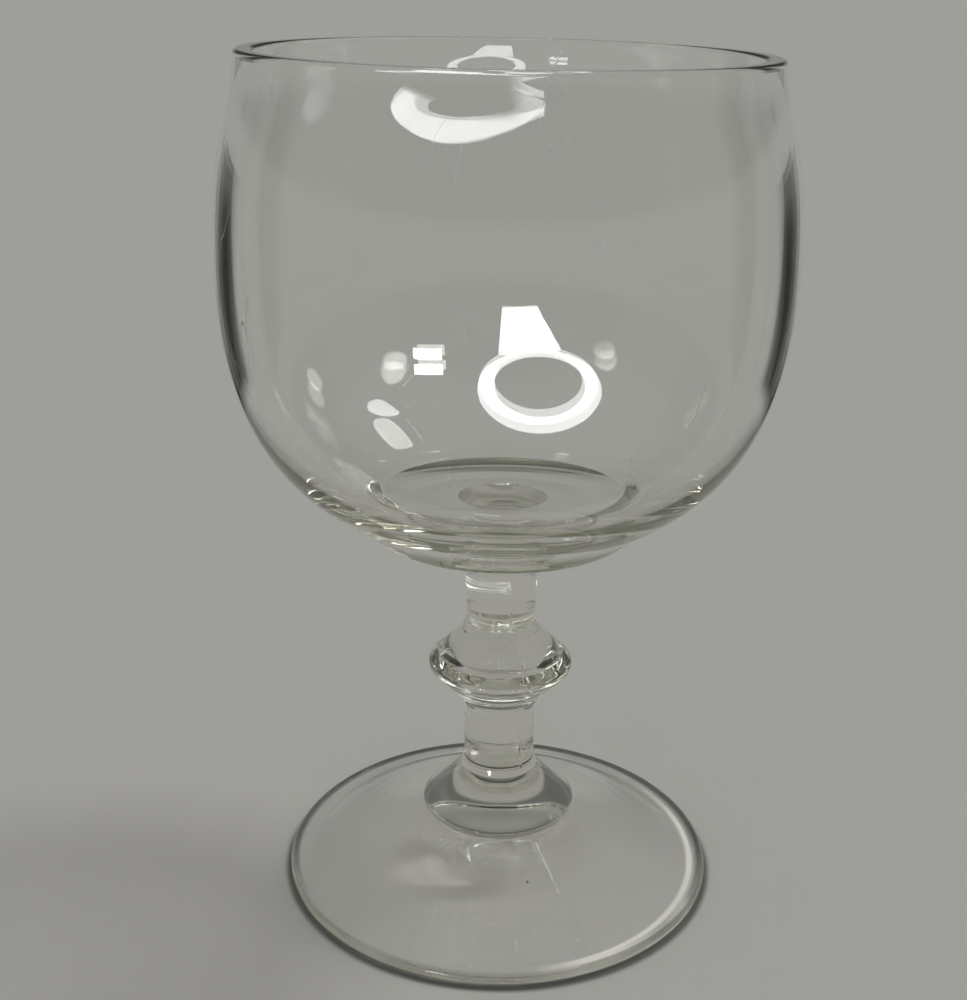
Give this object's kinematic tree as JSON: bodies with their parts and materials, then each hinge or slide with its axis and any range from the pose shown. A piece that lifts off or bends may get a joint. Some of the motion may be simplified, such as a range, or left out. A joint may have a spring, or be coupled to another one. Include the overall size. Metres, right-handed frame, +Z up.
{
  "type": "goblet",
  "caption": "Clear antique glass goblet: deep round bowl on a flat pad, ringed solid stem, rounded foot knop and wide conical foot, hollow underneath.",
  "frame": {"origin": "centre of the circle that the foot rests on, at floor level", "axes": "+Z up along the axis of the stem; +Y away from the viewer of the picture, +X to the right"},
  "size_m": [0.1092, 0.1092, 0.17],
  "materials": {
    "clear_glass": "fire-polished clear glass with a faint grey-green cast and light wear"
  },
  "bodies": {
    "root": {"foot": "clear_glass", "foot_knop": "clear_glass", "stem": "clear_glass", "bowl_pad": "clear_glass", "bowl": "clear_glass"}
  },
  "joints": []
}
